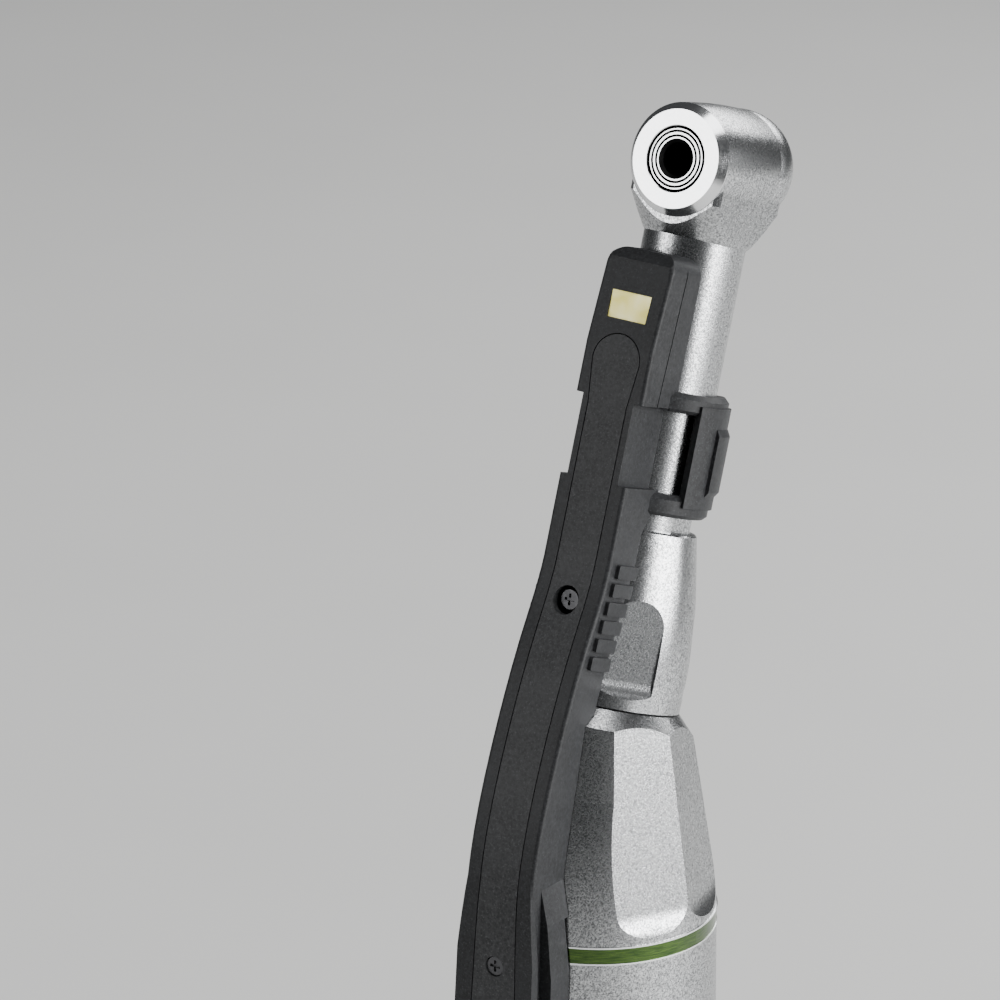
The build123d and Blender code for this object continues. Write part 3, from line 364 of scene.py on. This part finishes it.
SPECIAL = {"chuck_spindle": "chuck_front", "arm_screws": "dark_screw"}    # not their slot's material


def dress_nodes(materials):
    """Give every CAD node the material of its slot in the record, or its special one."""
    slots = {part["node"]: part["material_slot"] for part in frame["record"]["subparts"]}
    for name, node in frame["nodes"].items():
        node.data.materials.clear()
        node.data.materials.append(materials[SPECIAL.get(name, slots[name])])


# ---- detail pieces on the handle ----------------------------------------------------------
def plate(name, outlines, front, body, material, thickness=0.12 * MM):
    """Thin raised shapes on the handle's back, from outlines of (x, z) in mm; front is their top's Y."""
    grown = bmesh.new()
    for outline in outlines:
        low = [grown.verts.new((x * MM, front - thickness, z * MM)) for x, z in outline]
        high = [grown.verts.new((x * MM, front, z * MM)) for x, z in outline]
        grown.faces.new(low)
        grown.faces.new(reversed(high))
        for i in range(len(outline)):
            j = (i + 1) % len(outline)
            grown.faces.new((low[j], low[i], high[i], high[j]))
    bmesh.ops.recalc_face_normals(grown, faces=grown.faces)
    mesh = bpy.data.meshes.new(name)
    grown.to_mesh(mesh)
    grown.free()
    piece = bpy.data.objects.new(name, mesh)
    bpy.context.collection.objects.link(piece)
    soften = piece.modifiers.new("soften", "BEVEL")
    soften.width = thickness * 0.3
    soften.segments = 2
    mesh.materials.append(material)
    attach(piece, body)
    return piece


def arc_band(centre, radius, width, start, end, steps=28):
    """Outline of a flat ring segment, in degrees counted from straight up."""
    def along(r, share):
        angle = math.radians(start + (end - start) * share)
        return (centre[0] + r * math.sin(angle), centre[1] + r * math.cos(angle))
    shares = [i / steps for i in range(steps + 1)]
    outer = [along(radius + width / 2, share) for share in shares]
    inner = [along(radius - width / 2, share) for share in reversed(shares)]
    return outer + inner


def bar(x, z, width, height):
    """Upright rectangle around a middle point."""
    return [(x - width / 2, z - height / 2), (x + width / 2, z - height / 2),
            (x + width / 2, z + height / 2), (x - width / 2, z + height / 2)]


def chevron(x, z, size, way):
    """Arrow head that points up or down."""
    tip, wing, thick = way * size * 0.5, size, size * 0.55
    return [(x - wing, z - tip), (x, z + tip), (x + wing, z - tip), (x + wing, z - tip - way * thick),
            (x, z + tip - way * thick), (x - wing, z - tip - way * thick)]


def node_front(name):
    """Highest Y in metres and middle height in mm of a node on the handle's back."""
    low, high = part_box(name)
    return high[1], (low[2] + high[2]) / 2 / MM


SYMBOL_PROUD = 0.04 * MM
# Sizes of the symbols and of the display's shapes are in mm.
POWER_RING_R = 1.35
POWER_STROKE = 0.32
POWER_BAR_LENGTH = 1.5
POWER_BAR_RISE = 1.15        # middle of the bar above the ring's centre
POWER_GAP = 38               # half of the ring's gap, degrees
CHEVRON_SIZE = 0.75
CHEVRON_SHIFT = 0.1


def make_symbols(materials):
    """Power, up and down symbols on the keys."""
    # The symbols' material carries a painted glow.
    white = materials["symbol_white_painted_glow"]
    face, height = node_front("power_button")
    ring = arc_band((0, height), POWER_RING_R, POWER_STROKE, POWER_GAP, 360 - POWER_GAP)
    stem = bar(0, height + POWER_BAR_RISE, POWER_STROKE, POWER_BAR_LENGTH)
    piece = plate("power_symbol", [ring, stem], face + SYMBOL_PROUD, "power_key", white)
    for name, body, way in (("up_button", "up_key", 1), ("down_button", "down_key", -1)):
        face, height = node_front(name)
        arrow = chevron(0, height + CHEVRON_SHIFT * way, CHEVRON_SIZE, way)
        piece = plate(body + "_symbol", [arrow], face + SYMBOL_PROUD, body, white)


# Each segment of a digit: its place across and up, in digit sizes, and whether it lies flat.
SEGMENTS = {
    "a": (0, 1, True), "b": (0.5, 0.5, False), "c": (0.5, -0.5, False), "d": (0, -1, True),
    "e": (-0.5, -0.5, False), "f": (-0.5, 0.5, False), "g": (0, 0, True),
}
DIGITS = {"0": "abcdef", "3": "abcdg"}
SEGMENT_LONG = 0.8           # of the digit's size
SEGMENT_THICK = 0.17
DIGIT_SIZE = 1.45
DIGIT_ASIDE = 1.25
DIGIT_RISE = 1.6
SCALE_BARS = 5
SCALE_START = -1.7
SCALE_PITCH = 0.85
SCALE_WIDTH = 0.6
BATTERY_DROP = 5.6
BATTERY_HEIGHT = 1.3
SIGNAL_RISE = 7.2
SIGNAL_HEIGHT = 0.35         # of the first bar; each next one is taller by the step
SIGNAL_STEP = 0.3
DISPLAY_PROUD = 0.02 * MM
DISPLAY_THICK = 0.05 * MM


def digit(text, x, z, size):
    """Seven-segment digit, upright for a viewer behind the handle, who has +X on the left."""
    shapes = []
    for key in DIGITS[text]:
        across, up, flat = SEGMENTS[key]
        long_side, short_side = size * SEGMENT_LONG, size * SEGMENT_THICK
        spot = (x - across * size, z + up * size)
        width, height = (long_side, short_side) if flat else (short_side, long_side)
        shapes.append(bar(spot[0], spot[1], width, height))
    return shapes


def make_display(materials):
    """Lit digits with a signal scale above them and a battery scale below."""
    face, height = node_front("display_window")
    row = height + DIGIT_RISE
    shapes = digit("3", DIGIT_ASIDE, row, DIGIT_SIZE) + digit("0", -DIGIT_ASIDE, row, DIGIT_SIZE)
    columns = [(i, SCALE_START + SCALE_PITCH * i) for i in range(SCALE_BARS)]
    shapes += [bar(x, height - BATTERY_DROP, SCALE_WIDTH, BATTERY_HEIGHT) for i, x in columns]
    shapes += [
        bar(x, height + SIGNAL_RISE, SCALE_WIDTH, SIGNAL_HEIGHT + SIGNAL_STEP * i) for i, x in columns
    ]
    glow = materials["segment_light"]
    piece = plate("display_segments", shapes, face + DISPLAY_PROUD, "handle", glow, DISPLAY_THICK)


# ---- release cap's spring -----------------------------------------------------------------
SPRING_TURNS = 4
SPRING_WAVES = 3
SPRING_STEPS = 96
SPRING_INNER = 2.55 * MM
SPRING_OUTER = 2.95 * MM
SPRING_FIRST = -4.1 * MM     # along the head's axis, the turn that the cap rests on
SPRING_PITCH = 0.2 * MM
SPRING_WAVE = 0.035 * MM
SPRING_HALF = 0.04 * MM      # half the thickness of the strip


def make_cap_spring(materials):
    """Wave spring in the head: waved turns whose crests face the next turn's troughs."""
    aside = Vector((1, 0, 0))
    above = OUT.cross(aside)
    grown = bmesh.new()
    for turn in range(SPRING_TURNS):
        rings = []
        for step in range(SPRING_STEPS):
            angle = math.tau * step / SPRING_STEPS
            way = aside * math.cos(angle) + above * math.sin(angle)
            middle = SPRING_FIRST + SPRING_PITCH * turn
            middle += SPRING_WAVE * math.cos(SPRING_WAVES * angle + math.pi * turn)
            corners = ((SPRING_INNER, -1), (SPRING_OUTER, -1), (SPRING_OUTER, 1), (SPRING_INNER, 1))
            spots = [HEAD + way * reach + OUT * (middle + side * SPRING_HALF) for reach, side in corners]
            rings.append([grown.verts.new(spot) for spot in spots])
        for step in range(SPRING_STEPS):
            here, there = rings[step], rings[(step + 1) % SPRING_STEPS]
            for i in range(len(here)):
                j = (i + 1) % len(here)
                grown.faces.new((here[i], here[j], there[j], there[i]))
    bmesh.ops.recalc_face_normals(grown, faces=grown.faces)
    mesh = bpy.data.meshes.new("wave_spring")
    grown.to_mesh(mesh)
    grown.free()
    piece = bpy.data.objects.new("wave_spring", mesh)
    bpy.context.collection.objects.link(piece)
    mesh.materials.append(materials["spring_steel"])
    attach(piece, "contra_angle")
    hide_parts("push_cap_spring")
    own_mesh(piece)


# ---- stage --------------------------------------------------------------------------------
FLOOR_HALF = 3.0


def make_floor():
    """Pale paper under the object."""
    mesh = bpy.data.meshes.new("floor")
    corners = [(x * FLOOR_HALF, y * FLOOR_HALF, 0) for x, y in ((-1, -1), (1, -1), (1, 1), (-1, 1))]
    mesh.from_pydata(corners, [], [(0, 1, 2, 3)])
    floor = bpy.data.objects.new("floor", mesh)
    bpy.context.collection.objects.link(floor)
    g = Graph("floor_paper")
    tone = g.span(g.noise(9, 3.0), 0.0, 1.0, 0.3, 0.7)
    g.set(Base_Color=g.blend(tone, rgba(0.72, 0.72, 0.71), rgba(0.76, 0.76, 0.75)), Roughness=0.85)
    floor.data.materials.append(g.material)


def make_light(name, azimuth, elevation, distance, size, power):
    """A softbox that faces the neck from a direction given like the camera's; metres and watts."""
    turn, lift = math.radians(azimuth), math.radians(elevation)
    way = Vector((math.sin(turn) * math.cos(lift), -math.cos(turn) * math.cos(lift), math.sin(lift)))
    data = bpy.data.lights.new(name, "AREA")
    data.shape = "RECTANGLE"
    data.size, data.size_y = size
    data.energy = power
    lamp = bpy.data.objects.new(name, data)
    lamp.location = BEND + way * distance
    lamp.rotation_euler = way.to_track_quat("Z", "Y").to_euler()
    bpy.context.collection.objects.link(lamp)


# name, azimuth, elevation, distance, size and power
SOFTBOXES = (
    ("softbox_right", 102, 12, 0.6, (0.54, 0.26), 6.5),
    ("softbox_left", -36, 15, 0.7, (0.3, 0.3), 1.6),
    ("softbox_back", 185, 30, 0.8, (0.5, 0.4), 4.0),
    ("softbox_top", 60, 78, 0.9, (0.5, 0.5), 4.0),
)
WORLD_COLOUR = rgba(0.8, 0.82, 0.85)
WORLD_STRENGTH = 0.07


def make_lights():
    """The softboxes, and a dim even light from all around."""
    for softbox in SOFTBOXES:
        make_light(*softbox)
    world = bpy.data.worlds.new("studio")
    world.use_nodes = True
    background = world.node_tree.nodes["Background"]
    background.inputs["Color"].default_value = WORLD_COLOUR
    background.inputs["Strength"].default_value = WORLD_STRENGTH
    bpy.context.scene.world = world


make_camera()
MATERIALS = make_materials()
dress_nodes(MATERIALS)
make_symbols(MATERIALS)
make_display(MATERIALS)
make_cap_spring(MATERIALS)
make_floor()
make_lights()
